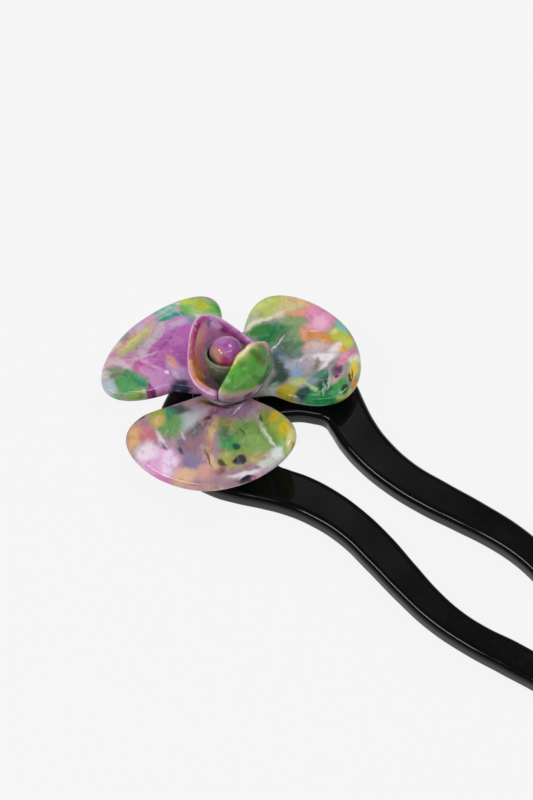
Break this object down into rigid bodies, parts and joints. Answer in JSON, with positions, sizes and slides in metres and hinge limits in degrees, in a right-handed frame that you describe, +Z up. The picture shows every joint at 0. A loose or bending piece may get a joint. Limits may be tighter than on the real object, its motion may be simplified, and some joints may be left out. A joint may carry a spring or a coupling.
{
  "type": "hair fork",
  "caption": "Two-pronged wavy hair fork in glossy black acetate with a cupped orchid-like flower of marbled acetate on its head.",
  "frame": {"origin": "underside of the fork's head, on the fork's line of symmetry, under the middle of the flower", "axes": "+Z up out of the fork's flat face through the flower, -Y along the prongs towards their tips, +X to the right seen from above with the prongs pointing down"},
  "size_m": [0.0486, 0.1367, 0.0234],
  "materials": {
    "black_acetate": "polished black acetate sheet with tumbled edges",
    "marbled_acetate": "polished translucent acetate, marbled in mauve, green, peach and pale lilac",
    "clear_adhesive": "clear cured glue"
  },
  "bodies": {
    "root": {"hair_fork": "black_acetate", "flower_base": "black_acetate", "left_petal": "marbled_acetate", "head_petal": "marbled_acetate", "right_petal": "marbled_acetate", "bud_back_petal": "marbled_acetate", "bud_front_petal": "marbled_acetate", "bud_inner_cup": "marbled_acetate", "bud_core": "marbled_acetate", "root_adhesive": "clear_adhesive"}
  },
  "joints": []
}
